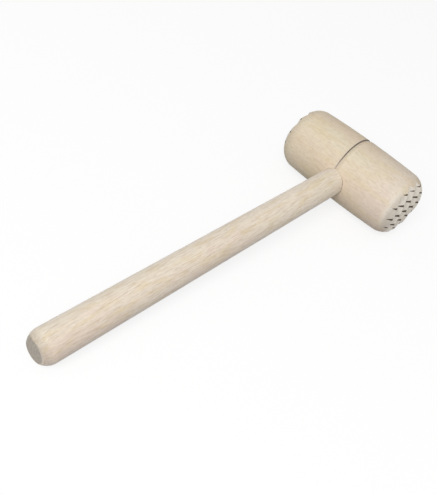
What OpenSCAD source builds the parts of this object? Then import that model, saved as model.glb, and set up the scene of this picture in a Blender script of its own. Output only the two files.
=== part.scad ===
// Wooden meat mallet: a turned beech head with two toothed faces, on a turned handle.
// The handle's tenon goes right through the head and is spread by a wedge.
// The mallet lies on z = 0, with the head's axis along Y and the handle towards -X.
// All sizes are in millimetres.

/* [Head] */
// Largest diameter of the head, at its middle
head_d = 54; // [44:0.5:70]
// Length of the head over both domed faces
head_l = 115; // [95:1:150]
// Fall of the radius from the head's middle to its shoulders
head_crown = 1; // [0.3:0.1:2]
// Radius of the dome on each toothed face
dome_r = 100; // [60:5:200]
// Radius of the shoulder between the side and the dome
shoulder_r = 15; // [10:0.5:20]

/* [Ring groove] */
// Width of the groove turned round the head
ring_w = 3.6; // [2:0.1:6]
// Depth of the groove turned round the head
ring_depth = 1.2; // [0.6:0.1:2]
// Width of the groove's steep wall
ring_wall_w = 0.6; // [0.3:0.1:1.5]
// Distance of the groove's middle from the head's middle
ring_y = 1.2; // [-10:0.1:10]

/* [Teeth] */
// Spacing of the ridges across each toothed face
ridge_pitch = 9.6; // [8:0.1:12]
// Included angle of the V-grooves between the ridges
ridge_angle = 118; // [90:1:130]
// Depth of the V-grooves between the ridges, below the top of the dome
ridge_depth = 5; // [4:0.1:8]
// Number of V-grooves between the ridges
ridge_grooves = 4; // [2:1:6]
// Spacing of the narrow cuts that part the ridges into teeth
cut_pitch = 9.6; // [8:0.1:12]
// Included angle of the narrow cuts
cut_angle = 30; // [12:1:40]
// Depth of the narrow cuts, below the top of the dome
cut_depth = 6; // [5:0.1:9]
// Number of narrow cuts
cut_count = 5; // [3:1:7]

/* [Handle] */
// Length from the head's axis to the handle's free end
handle_l = 302.3; // [220:0.1:400]
// Diameter at the free end, before its rounding
handle_grip_d = 23.1; // [20:0.1:30]
// Diameter of the flat face at the free end
butt_face_d = 16.2; // [12:0.1:17]
// Radius of the rounding at the free end
butt_r = 10.4; // [8:0.1:14]

/* [Tenon and wedge] */
// Diameter of the tenon, and of the handle where it enters the head
tenon_d = 20.8; // [16:0.1:26]
// Gap round the tenon in its bore, for glue
tenon_gap = 0.1; // [0.05:0.05:0.3]
// Depth of the tenon's outer end below the head's side
tenon_inset = 0.2; // [0.1:0.1:1]
// Thickness of the wedge at its outer end
wedge_t = 4; // [3:0.1:6]
// Thickness of the wedge at its inner end
wedge_tip_t = 1.2; // [0.8:0.1:2]
// Length of the wedge
wedge_l = 26; // [18:1:32]
// Gap round the wedge in its slot
wedge_gap = 0.1; // [0.05:0.05:0.3]

/* [Hidden] */
$fn = 128;

// Arcs that meet stand this much proud of each other, so that they cross and don't only touch
arc_ease = 0.05;

head_r = head_d / 2;
side_end_r = head_r - head_crown;
dome_y = head_l / 2 - dome_r;
shoulder_x = side_end_r - shoulder_r + arc_ease;
shoulder_y = dome_y + sqrt(pow(dome_r - shoulder_r + arc_ease, 2) - pow(shoulder_x, 2));
side_r = (pow(shoulder_y, 2) + pow(head_crown, 2)) / (2 * head_crown);

tenon_r = tenon_d / 2;
grip_r = handle_grip_d / 2;
butt_x = grip_r - butt_r;
butt_y = handle_l - sqrt(pow(butt_r, 2) - pow(butt_face_d / 2 - butt_x, 2));
tenon_out_r = head_r - tenon_inset;

// The mallet rests on the head's side and on the rounding of the handle's free end
rest_tilt = asin((head_r - butt_r) / norm([butt_x, butt_y])) - atan2(butt_x, butt_y);
far_x = handle_l * cos(rest_tilt) + butt_face_d / 2 * sin(rest_tilt);
middle_x = (head_r - far_x) / 2;

// Puts a piece, made with the head's middle at the origin, where it lies on z = 0
module at_rest() {
    translate([-middle_x, 0, head_r])
        rotate([0, -rest_tilt, 0])
            children();
}

// Waste outside one shoulder arc, in the head's half profile
module shoulder_waste() {
    centre = [shoulder_x, shoulder_y];
    to_side = [head_d, 0];
    to_dome = (centre - [0, dome_y]) * head_d / (dome_r - shoulder_r);
    difference() {
        polygon([centre, centre + to_side, centre + to_side + to_dome, centre + to_dome]);
        translate(centre)
            circle(shoulder_r);
    }
}

// Half profile of the turned head, with the axis along the profile's Y
module head_profile() {
    ring_top = ring_y + ring_w / 2;
    ring_foot = ring_y - ring_w / 2;
    difference() {
        intersection() {
            translate([head_r - side_r, 0])
                circle(side_r, $fn = 2400);
            translate([0, dome_y])
                circle(dome_r);
            translate([0, -dome_y])
                circle(dome_r);
            translate([0, -head_l])
                square([head_d, 2 * head_l]);
        }
        shoulder_waste();
        mirror([0, 1])
            shoulder_waste();
        polygon([
            [head_d, ring_foot],
            [head_r, ring_foot],
            [head_r - ring_depth, ring_top - ring_wall_w],
            [head_r, ring_top],
            [head_d, ring_top]
        ]);
    }
}

// V-grooves along Z on the face at +Y, which follow the dome and leave ridges between them
module ridge_waste() {
    floor_r = dome_r - ridge_depth;
    outer_r = dome_r + ridge_depth;
    half_w = 2 * ridge_depth * tan(ridge_angle / 2);
    for (i = [0 : ridge_grooves - 1])
        translate([(i - (ridge_grooves - 1) / 2) * ridge_pitch, dome_y, 0])
            rotate([0, 90, 0])
                rotate_extrude()
                    polygon([[floor_r, 0], [outer_r, half_w], [outer_r, -half_w]]);
}

// Narrow straight cuts along X on the face at +Y, which part the ridges into teeth
module cut_waste() {
    half_w = 2 * cut_depth * tan(cut_angle / 2);
    for (i = [0 : cut_count - 1])
        translate([0, head_l / 2 - cut_depth, (i - (cut_count - 1) / 2) * cut_pitch])
            rotate([0, 90, 0])
                linear_extrude(head_d, center = true)
                    polygon([[0, 0], [half_w, 2 * cut_depth], [-half_w, 2 * cut_depth]]);
}

// Waste between the teeth of the face at +Y
module tooth_face() {
    ridge_waste();
    cut_waste();
}

// Tapered strip along Z that the wedge and its slot are made from, grown by a gap
module wedge_strip(gap) {
    inner_x = head_r - wedge_l;
    linear_extrude(head_d, center = true)
        polygon([
            [inner_x - gap, wedge_tip_t / 2 + gap],
            [inner_x - gap, -wedge_tip_t / 2 - gap],
            [head_r, -wedge_t / 2 - gap],
            [head_r, wedge_t / 2 + gap]
        ]);
}

// Limit of the tenon's and the wedge's outer ends, just below the head's side
module tenon_limit() {
    rotate([90, 0, 0])
        cylinder(r = tenon_out_r, h = head_l, center = true);
}

// Half profile of the turned handle, from the tenon's outer end to the free end
module handle_profile() {
    difference() {
        polygon([
            [0, -head_r],
            [tenon_r, -head_r],
            [tenon_r, head_r],
            [grip_r, handle_l],
            [0, handle_l]
        ]);
        translate([butt_x, butt_y])
            difference() {
                square(2 * butt_r);
                circle(butt_r);
            }
    }
}

module head() {
    color("burlywood")
        at_rest()
            difference() {
                rotate([-90, 0, 0])
                    rotate_extrude()
                        head_profile();
                rotate([0, 90, 0])
                    cylinder(r = tenon_r + tenon_gap, h = 2 * head_d, center = true);
                tooth_face();
                mirror([0, 1, 0])
                    tooth_face();
            }
}

module handle() {
    color("wheat")
        at_rest()
            difference() {
                rotate([0, -90, 0])
                    rotate_extrude()
                        handle_profile();
                difference() {
                    translate([0, -head_d / 2, -head_d / 2])
                        cube(head_d);
                    tenon_limit();
                }
                wedge_strip(wedge_gap);
            }
}

module wedge() {
    color("peru")
        at_rest()
            intersection() {
                wedge_strip(0);
                tenon_limit();
                rotate([0, 90, 0])
                    cylinder(r = tenon_r, h = 2 * head_d, center = true);
            }
}

head();
handle();
wedge();
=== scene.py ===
"""Looks of the wooden meat mallet: bare wood with painted shade and scorch in its cuts, one face with wear
and a painted highlight, on a pale floor.
"""
import math

import bpy
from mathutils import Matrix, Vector


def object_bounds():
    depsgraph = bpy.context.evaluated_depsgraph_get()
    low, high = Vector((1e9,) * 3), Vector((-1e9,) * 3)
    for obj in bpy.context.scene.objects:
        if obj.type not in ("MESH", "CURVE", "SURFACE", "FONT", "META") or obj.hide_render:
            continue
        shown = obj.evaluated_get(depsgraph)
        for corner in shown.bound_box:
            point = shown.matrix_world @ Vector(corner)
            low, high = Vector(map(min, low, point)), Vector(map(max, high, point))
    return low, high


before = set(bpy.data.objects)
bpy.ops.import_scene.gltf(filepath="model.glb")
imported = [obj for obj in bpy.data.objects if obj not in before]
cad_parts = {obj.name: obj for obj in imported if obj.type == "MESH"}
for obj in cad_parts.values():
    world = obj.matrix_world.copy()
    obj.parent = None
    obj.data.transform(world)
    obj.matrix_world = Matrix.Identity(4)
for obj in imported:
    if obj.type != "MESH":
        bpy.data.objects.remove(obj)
cad_low, cad_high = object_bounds()

# Sizes of the head and the handle, in metres like all lengths below
HEAD_RADIUS = 0.027
HEAD_LENGTH = 0.115
HANDLE_LENGTH = 0.3023
GRIP_RADIUS = 0.01155
BUTT_ROUNDING = 0.0104
BUTT_FACE_RADIUS = 0.0081


def rest_tilt():
    """Tilt of the mallet, which lies on the head's side and on the rounding of the handle's free end."""
    # Centre of the rounding, out from the handle's axis and along it
    out = GRIP_RADIUS - BUTT_ROUNDING
    along = HANDLE_LENGTH - math.sqrt(BUTT_ROUNDING**2 - (BUTT_FACE_RADIUS - out)**2)
    return math.asin((HEAD_RADIUS - BUTT_ROUNDING) / math.hypot(out, along)) - math.atan2(out, along)


# Middle of the head: the origin lies halfway between the handle's free end and the head's far side
HEAD_CENTRE = Vector((-cad_low[0] - HEAD_RADIUS, 0.0, HEAD_RADIUS))

# Axes of the mallet's own frame: along the handle towards the head, along the head, and up
TILT = rest_tilt()
AXIS_X = Vector((math.cos(TILT), 0.0, math.sin(TILT)))
AXIS_Y = Vector((0.0, 1.0, 0.0))
AXIS_Z = Vector((-math.sin(TILT), 0.0, math.cos(TILT)))

# The pairs below are mostly spans: the two places, in that frame, between which a mark comes or goes

# Cuts across both faces of the head, and the spans of their painted shade and scorch: in depth, and beside
# their walls
CUT_COUNT = 5
CUT_PITCH = 0.0096
CUT_FLOOR = HEAD_LENGTH / 2 - 0.006
CUT_SLOPE = math.tan(math.radians(15))
CUT_SPAN = (CUT_FLOOR - 0.0004, CUT_FLOOR + 0.0002)
BORDER_SPAN = (0.0001, 0.0003)

# Steep wall of the ring groove, darkened by painted shade and scorch: spans at its foot and its lip, below
# the head's side, and up to the top, where the painted shade is strongest
RING_FOOT = (0.0020, 0.0023)
RING_LIP = (0.0030, 0.0031)
RING_SINK = (HEAD_RADIUS - 0.0003, HEAD_RADIUS - 0.0001)
RING_RISE = (0.008, 0.024)

# Crests of the teeth: place of the highest ones, depth of their wear, and radius of the arc that they follow
CREST_TOP = 0.0554
CREST_WEAR = 0.0012
CREST_ARC = 0.098

# Face of the head that shows wear, with its tint along the head, its dull shoulder, and its pale rim, a
# painted highlight on the side towards the light and at the top
TINT_SPAN = (-0.045, -0.005)
TINT_STOP = (-0.050, -0.044)
FACE_SPAN = (-0.0475, -0.0455)
WEAR_AND_LIT_SPAN = (-0.018, -0.008)
SHOULDER_SPAN = (0.0175, 0.0195)
SHOULDER_EDGE = (-0.0006, 0.0008)
DULL_SPAN = (-0.016, 0.0)
RIM_RADIUS = 0.0243
RIM_WIDTH = 0.0016
RIM_WANDER = 0.004
RIM_SPAN = (-0.012, 0.004)

# Oval of end grain on the handle's free end: its turn, its middle and half length along each axis, its border
END_SPAN = (0.004 - HANDLE_LENGTH, 0.008 - HANDLE_LENGTH)
OVAL_TURN = math.radians(41.92)
OVAL_LONG = (0.0009, 0.0090)
OVAL_SHORT = (-0.0010, 0.0072)
OVAL_BORDER = (0.88, 1.10)

# Handle at the head: its darker stretch, and the line at the joint, which is painted shade where the handle
# meets the head
SHADE_SPAN = (-0.080, -0.035)
JOINT_WIDTH = 0.0007
JOINT_SPAN = (-0.010, -0.004)

# Grain of all the woods: its wander, the pith's offset, and the rings' rate in radians per metre
GRAIN_WANDER = 0.004
PITH_OFFSET = 0.011
RING_RATE = 2600
# Change in how far a surface counts as end grain, per metre of the grain's wander
END_WANDER = 40


class Graph:
    """The node tree of a material or a world, with short methods for the nodes that they use."""

    def __init__(self, owner):
        owner.use_nodes = True
        self.owner = owner
        self.tree = owner.node_tree

    def add(self, kind, inputs, **settings):
        """Adds a node, with its settings by name and its inputs by name or number."""
        node = self.tree.nodes.new(kind)
        for name, value in settings.items():
            setattr(node, name, value)
        self.fill(node, inputs)
        return node

    def fill(self, node, inputs):
        """Links a node's inputs to outputs of other nodes, or sets them to constants."""
        for key, value in inputs.items():
            if isinstance(value, bpy.types.NodeSocket):
                self.tree.links.new(value, node.inputs[key])
            else:
                node.inputs[key].default_value = value

    def math(self, operation, a, b=0.0):
        return self.add("ShaderNodeMath", {0: a, 1: b}, operation=operation).outputs[0]

    def product(self, *values):
        result = values[0]
        for value in values[1:]:
            result = self.math("MULTIPLY", result, value)
        return result

    def dot(self, a, b):
        return self.add("ShaderNodeVectorMath", {0: a, 1: b}, operation="DOT_PRODUCT").outputs["Value"]

    def combine(self, x, y, z):
        return self.add("ShaderNodeCombineXYZ", {0: x, 1: y, 2: z}).outputs[0]

    def length(self, a, b):
        squares = self.math("ADD", self.product(a, a), self.product(b, b))
        return self.math("SQRT", squares)

    def noise(self, vector, rate, detail=3.0, roughness=0.5):
        """Noise whose features are about one over the rate, in metres, along each axis."""
        scaled = self.add("ShaderNodeVectorMath", {0: vector, 1: rate}, operation="MULTIPLY").outputs[0]
        inputs = {"Vector": scaled, "Scale": 1.0, "Detail": detail, "Roughness": roughness}
        return self.add("ShaderNodeTexNoise", inputs).outputs["Fac"]

    def step(self, value, low, high, to_low=0.0, to_high=1.0):
        """Goes smoothly from one level to another while the value goes from low to high."""
        inputs = {"Value": value, "From Min": low, "From Max": high, "To Min": to_low, "To Max": to_high}
        return self.add("ShaderNodeMapRange", inputs, interpolation_type="SMOOTHSTEP").outputs[0]

    def fade(self, value, low, high, most=1.0):
        """Falls smoothly to 0 while the value goes from low to high."""
        return self.step(value, low, high, to_low=most, to_high=0.0)

    def mix(self, factor, a, b, blend="MIX"):
        """Mixes two colours, for which the node has inputs 6 and 7 and output 2."""
        inputs = {0: factor, 6: a, 7: b}
        return self.add("ShaderNodeMix", inputs, data_type="RGBA", blend_type=blend).outputs[2]

    def paint(self, share, tone, blend="MIX"):
        """Lays a tone over the one so far, by a share from 0 to 1."""
        self.tone = self.mix(share, self.tone, tone, blend)

    def finish(self):
        """Gives the material its tone."""
        self.fill(self.tree.nodes["Principled BSDF"], {"Base Color": self.tone})
        return self.owner

    def seen_directly(self):
        """1 for rays from the camera, off gloss and through glass, and 0 for stray light."""
        path = self.add("ShaderNodeLightPath", {}).outputs
        seen = path["Is Camera Ray"]
        for name in ("Is Glossy Ray", "Is Transmission Ray"):
            seen = self.math("MAXIMUM", seen, path[name])
        return seen


def colour(red, green, blue):
    """An sRGB colour, given from 0 to 255, as linear values with alpha."""
    def linear(level):
        level /= 255
        return level / 12.92 if level <= 0.04045 else ((level + 0.055) / 1.055) ** 2.4
    return linear(red), linear(green), linear(blue), 1.0


WHITE = (1.0, 1.0, 1.0, 1.0)
# Dark brown for scorch, and for painted shade in the cuts, in the ring groove and at the joint
SCORCH_AND_SHADE = colour(74, 57, 44)


def side_grain(wood, bent, specks, fibres, tones, grain):
    """Tone of the wood's sides: a pale ground under clouds, patches, specks, fibres and veins."""
    clouds = wood.noise(bent, rate=(12, 48, 48), roughness=0.55)
    patches = wood.noise(bent, rate=grain["patch_rate"], roughness=0.55)
    veins = wood.noise(bent, rate=(40, 850, 850))
    layers = (
        (clouds, (0.36, 0.64), 1.0, tones["pink"]),
        (patches, (0.46, 0.68), grain["patch"], tones["warm"]),
        (specks, (0.40, 0.75), grain["mottle"], tones["fleck"]),
        (fibres, (0.38, 0.78), grain["fibre"], tones["fleck"]),
        (veins, (0.60, 0.74), grain["vein"], tones["fleck"]),
    )
    tone = tones["pale"]
    for layer, span, share, layer_tone in layers:
        tone = wood.mix(wood.step(layer, *span, to_high=share), tone, layer_tone)
    return tone


def end_grain(wood, straight, from_pith, tones):
    """Tone of the wood's ends: rings round the pith, and pores."""
    rings = wood.math("SINE", wood.product(from_pith, RING_RATE))
    pores = wood.noise(straight, rate=(300, 900, 900), detail=2.0)
    tone = wood.mix(wood.step(rings, -1.0, 1.0, to_high=0.20), tones["end"], tones["pore"])
    return wood.mix(wood.step(pores, 0.42, 0.66, to_high=0.45), tone, tones["pore"])


def sand_surface(wood, specks, fibres, fuzz):
    """Makes the surface dull, with a low relief of specks and fibres, and some fuzz."""
    relief = wood.math("ADD", wood.product(fibres, 0.6), wood.product(specks, 0.4))
    bump = wood.add("ShaderNodeBump", {"Strength": 0.15, "Distance": 0.0004, "Height": relief})
    wood.fill(wood.tree.nodes["Principled BSDF"], {
        "Normal": bump.outputs[0],
        "Roughness": wood.step(fibres, 0.2, 0.8, to_low=0.55, to_high=0.72),
        "Specular IOR Level": 0.25,
        "Sheen Weight": fuzz,
        "Sheen Roughness": 0.6,
    })


def bare_wood(name, along, across, seed, tones, grain):
    """Bare sanded wood, with its grain along one axis."""
    wood = Graph(bpy.data.materials.new(name))
    position = wood.add("ShaderNodeTexCoord", {}).outputs["Object"]
    from_centre = {0: position, 1: HEAD_CENTRE}
    place = wood.add("ShaderNodeVectorMath", from_centre, operation="SUBTRACT").outputs[0]
    wood.x, wood.y, wood.z = (wood.dot(place, axis) for axis in (AXIS_X, AXIS_Y, AXIS_Z))

    # Place along the grain, as u, and in two directions across it, as v and w
    u, v, w = (wood.dot(place, axis) for axis in (along, across, along.cross(across)))
    u = wood.math("ADD", u, seed)
    straight = wood.combine(u, v, w)

    # Slow wander of the grain, so that no fibre is ruled straight
    wander = wood.noise(straight, rate=(14, 30, 30), detail=2.0)
    bend = wood.product(wood.math("SUBTRACT", wander, 0.5), GRAIN_WANDER)
    bent = wood.combine(u, wood.math("ADD", v, bend), wood.math("ADD", w, bend))
    from_pith = wood.math("ADD", wood.length(wood.math("ADD", v, PITH_OFFSET), w), bend)

    specks = wood.noise(straight, rate=(330, 760, 760), roughness=0.6)
    fibres = wood.noise(bent, rate=grain["fibre_rate"], detail=4.0, roughness=0.6)
    sand_surface(wood, specks, fibres, grain["fuzz"])
    wood.side_tone = side_grain(wood, bent, specks, fibres, tones, grain)
    wood.end_tone = end_grain(wood, straight, from_pith, tones)

    # End grain shows where the surface faces along the grain, and in part where it turns that way
    normal = wood.add("ShaderNodeNewGeometry", {}).outputs["Normal"]
    facing = wood.math("ABSOLUTE", wood.dot(normal, along))
    facing = wood.math("ADD", facing, wood.product(bend, END_WANDER))
    wood.turning = wood.step(facing, 0.0, 0.8, to_high=grain["turning"])
    end = wood.math("MAXIMUM", wood.turning, wood.step(facing, *grain["end"]))
    wood.tone = wood.mix(end, wood.side_tone, wood.end_tone)
    return wood


def tint_worn_end(wood, tint):
    """Tints the head's wood towards the end whose face shows wear, up to the face there."""
    share = wood.product(wood.fade(wood.y, *TINT_SPAN), wood.step(wood.y, *TINT_STOP))
    wood.paint(share, tint, "MULTIPLY")


def wear_and_highlight_faces(wood, wear_and_highlight, dull):
    """Wears the teeth's crests pale, and gives one face a dull shoulder with a pale rim, a painted highlight,
    on the side that shows wear and faces the light.
    """
    spots = wood.noise(wood.combine(wood.x, wood.y, wood.z), rate=(420, 420, 420))
    ragged = wood.product(wood.math("SUBTRACT", spots, 0.5), RIM_WANDER)
    radius = wood.length(wood.x, wood.z)
    from_rim = wood.math("ADD", wood.math("SUBTRACT", radius, RIM_RADIUS), ragged)
    wear_and_lit_side = wood.product(wood.fade(wood.y, *FACE_SPAN), wood.fade(wood.x, *WEAR_AND_LIT_SPAN))

    shoulder = wood.product(wood.step(radius, *SHOULDER_SPAN), wood.fade(from_rim, *SHOULDER_EDGE))
    mottled = wood.step(spots, 0.35, 0.65, to_low=0.65, to_high=0.95)
    dulled = wood.product(shoulder, wear_and_lit_side, mottled, wood.step(wood.z, *DULL_SPAN, to_low=0.4))
    wood.paint(dulled, dull)

    # The crests follow an arc, so they fall off above and below the middle
    fall = wood.product(wood.z, wood.z, 0.5 / CREST_ARC)
    height = wood.math("ADD", wood.math("ABSOLUTE", wood.y), fall)
    crest = wood.step(height, CREST_TOP - CREST_WEAR, CREST_TOP)
    # Pale crests from wear, and a pale rim that is a painted highlight, strongest on the side towards the
    # light and at the top
    rim = wood.fade(wood.math("ABSOLUTE", from_rim), 0.0, RIM_WIDTH, most=0.6)
    rim = wood.product(rim, wear_and_lit_side, wood.step(wood.z, *RIM_SPAN, to_low=0.15))
    wood.paint(wood.product(wood.math("MAXIMUM", crest, rim), 0.75), wear_and_highlight)


def shade_and_scorch_cuts(wood):
    """Darkens the walls of the cuts between the teeth, and a narrow border beside them, with painted shade
    and scorch.
    """
    depth = wood.math("ABSOLUTE", wood.y)
    row = wood.math("DIVIDE", wood.z, CUT_PITCH)
    in_rows = wood.math("LESS_THAN", wood.math("ABSOLUTE", row), CUT_COUNT / 2)
    off_row = wood.math("ABSOLUTE", wood.math("SUBTRACT", row, wood.math("ROUND", row)))
    reach = wood.product(wood.math("SUBTRACT", depth, CUT_FLOOR), CUT_SLOPE)
    beside = wood.math("SUBTRACT", wood.product(off_row, CUT_PITCH), reach)
    in_cut = wood.product(wood.fade(beside, *BORDER_SPAN), in_rows, wood.step(depth, *CUT_SPAN))
    # Painted shade in the cuts, with scorch on their walls
    wood.paint(wood.product(in_cut, 0.92), SCORCH_AND_SHADE)


def shade_and_scorch_ring(wood):
    """Darkens the steep wall of the ring groove with painted shade and scorch, most at the top of the head.
    """
    below_side = wood.fade(wood.length(wood.x, wood.z), *RING_SINK)
    on_wall = wood.product(wood.step(wood.y, *RING_FOOT), wood.fade(wood.y, *RING_LIP))
    share = wood.step(wood.z, *RING_RISE, to_low=0.4, to_high=0.85)
    # Painted shade on the groove's steep wall, with scorch, strongest at the top
    wood.paint(wood.product(below_side, on_wall, share), SCORCH_AND_SHADE)


def oval_end(wood):
    """Shows the end grain on the handle's free end as an oval, a little off the middle."""
    place = wood.combine(wood.x, wood.y, wood.z)

    def off_middle(turn, middle, half_length):
        axis = Vector((0.0, math.cos(turn), math.sin(turn)))
        return wood.math("DIVIDE", wood.math("SUBTRACT", wood.dot(place, axis), middle), half_length)

    long_way = off_middle(OVAL_TURN, *OVAL_LONG)
    short_way = off_middle(OVAL_TURN + math.pi / 2, *OVAL_SHORT)
    oval = wood.fade(wood.length(long_way, short_way), *OVAL_BORDER)
    end = wood.math("MAXIMUM", wood.turning, oval)
    wood.paint(wood.fade(wood.x, *END_SPAN), wood.mix(end, wood.side_tone, wood.end_tone))


def darken_joint(wood, shade):
    """Darkens the handle near the head, and draws a dark line of painted shade at the joint, on the side of
    the face that shows wear.
    """
    wood.paint(wood.step(wood.x, *SHADE_SPAN), shade, "MULTIPLY")
    line = wood.fade(wood.length(wood.x, wood.z), HEAD_RADIUS, HEAD_RADIUS + JOINT_WIDTH)
    # Dark line of painted shade where the handle meets the head
    wood.paint(wood.product(line, wood.fade(wood.y, *JOINT_SPAN, most=0.9)), SCORCH_AND_SHADE)


def head_wood():
    """Beech with its grain along the head, the marks of making and use, and painted shade and highlight."""
    tones = {
        "pale": colour(218, 206, 183),
        "warm": colour(214, 197, 160),
        "pink": colour(217, 200, 179),
        "fleck": colour(172, 150, 122),
        "end": colour(238, 232, 222),
        "pore": colour(216, 204, 187),
    }
    grain = {
        "patch_rate": (34, 140, 140), "patch": 0.45, "fibre_rate": (140, 1000, 1000), "fibre": 0.27,
        "vein": 0.05, "mottle": 0.26, "end": (0.60, 0.90), "turning": 0.0, "fuzz": 0.05,
    }
    wood = bare_wood("head_beech", along=AXIS_Y, across=AXIS_X, seed=3.1, tones=tones, grain=grain)
    tint_worn_end(wood, tint=(1.01, 1.015, 1.10, 1.0))
    # Pale tone for wear on the crests and for the painted highlight on the rim, and a greyer tone for the
    # dull shoulder
    wear_and_highlight_faces(wood, wear_and_highlight=colour(232, 224, 213), dull=colour(196, 188, 177))
    shade_and_scorch_cuts(wood)
    shade_and_scorch_ring(wood)
    return wood.finish()


def handle_wood():
    """Paler beech with its grain along the handle, and dark end grain."""
    tones = {
        "pale": colour(235, 223, 205),
        "warm": colour(222, 204, 164),
        "pink": colour(232, 214, 198),
        "fleck": colour(180, 156, 130),
        "end": colour(154, 144, 129),
        "pore": colour(110, 97, 82),
    }
    grain = {
        "patch_rate": (60, 260, 260), "patch": 0.55, "fibre_rate": (110, 1300, 1300), "fibre": 0.50,
        "vein": 0.42, "mottle": 0.18, "end": (0.76, 0.96), "turning": 0.52, "fuzz": 0.35,
    }
    wood = bare_wood("handle_beech", along=AXIS_X, across=AXIS_Y, seed=7.7, tones=tones, grain=grain)
    oval_end(wood)
    darken_joint(wood, shade=(0.95, 0.955, 0.93, 1.0))
    return wood.finish()


def wedge_wood():
    """A darker hardwood with its grain along the wedge."""
    tones = {
        "pale": colour(196, 168, 132),
        "warm": colour(184, 150, 112),
        "pink": colour(190, 158, 124),
        "fleck": colour(140, 108, 76),
        "end": colour(160, 130, 98),
        "pore": colour(116, 88, 62),
    }
    grain = {
        "patch_rate": (34, 140, 140), "patch": 0.50, "fibre_rate": (45, 900, 900), "fibre": 0.45,
        "vein": 0.40, "mottle": 0.20, "end": (0.62, 0.97), "turning": 0.0, "fuzz": 0.12,
    }
    wood = bare_wood("wedge_hardwood", along=AXIS_X, across=AXIS_Y, seed=12.3, tones=tones, grain=grain)
    return wood.finish()


for node, material in (("head", head_wood()), ("handle", handle_wood()), ("wedge", wedge_wood())):
    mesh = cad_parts[node].data
    mesh.materials.clear()
    mesh.materials.append(material)


def pale_floor(size, stray_tone, glow_share):
    """A floor that is near white where it is seen, with the object's soft shadow, and grey to stray light."""
    graph = Graph(bpy.data.materials.new("pale_floor"))
    shader = graph.tree.nodes["Principled BSDF"]
    seen = graph.seen_directly()
    tone = graph.mix(seen, (stray_tone, stray_tone, stray_tone, 1.0), WHITE)
    graph.fill(shader, {"Base Color": tone, "Roughness": 0.9, "Specular IOR Level": 0.0})
    glow = graph.add("ShaderNodeEmission", {"Color": WHITE, "Strength": 1.0})
    share = graph.product(seen, glow_share)
    blend = graph.add("ShaderNodeMixShader", {0: share, 1: shader.outputs[0], 2: glow.outputs[0]})
    graph.fill(graph.tree.nodes["Material Output"], {"Surface": blend.outputs[0]})
    bpy.ops.mesh.primitive_plane_add(size=size, location=(0, 0, 0))
    plane = bpy.context.object
    plane.name = "floor"
    plane.data.materials.append(graph.owner)
    return plane


floor = pale_floor(size=8, stray_tone=0.4, glow_share=0.8)


def studio_world(level):
    """Even white light at a level, and plain white where the world is seen."""
    graph = Graph(bpy.data.worlds.new("studio"))
    strength = graph.step(graph.seen_directly(), 0.0, 1.0, to_low=level)
    graph.fill(graph.tree.nodes["Background"], {"Color": WHITE, "Strength": strength})
    return graph.owner


bpy.context.scene.world = studio_world(level=0.43)


def soft_light(name, direction, distance, aim, size, power):
    """A square soft box that shines on a point from one direction."""
    lamp = bpy.data.lights.new(name, "AREA")
    lamp.size = size
    lamp.energy = power
    box = bpy.data.objects.new(name, lamp)
    box.location = Vector(aim) + Vector(direction).normalized() * distance
    box.rotation_euler = (-Vector(direction)).to_track_quat("-Z", "Y").to_euler()
    bpy.context.scene.collection.objects.link(box)


soft_light("key", direction=(-0.70, -0.20, 0.68), distance=2.4, aim=(0.0, 0.0, 0.02), size=1.4, power=47.5)

# Camera, fitted to the photograph's outline: place, turns about X, Y and Z in degrees, lens and sensor in mm
CAMERA_PLACE = (-0.3565955, -0.2023527, 0.3581440)
CAMERA_TURNS = (47.6409, -14.8282, -46.1888)
CAMERA_LENS = 56.7273
CAMERA_SENSOR = 36.0
camera_data = bpy.data.cameras.new("camera")
camera_data.lens = CAMERA_LENS
camera_data.sensor_width = CAMERA_SENSOR
camera = bpy.data.objects.new("camera", camera_data)
camera.location = CAMERA_PLACE
camera.rotation_euler = [math.radians(turn) for turn in CAMERA_TURNS]
bpy.context.scene.collection.objects.link(camera)
bpy.context.scene.camera = camera

bpy.context.scene.view_settings.view_transform = "Standard"
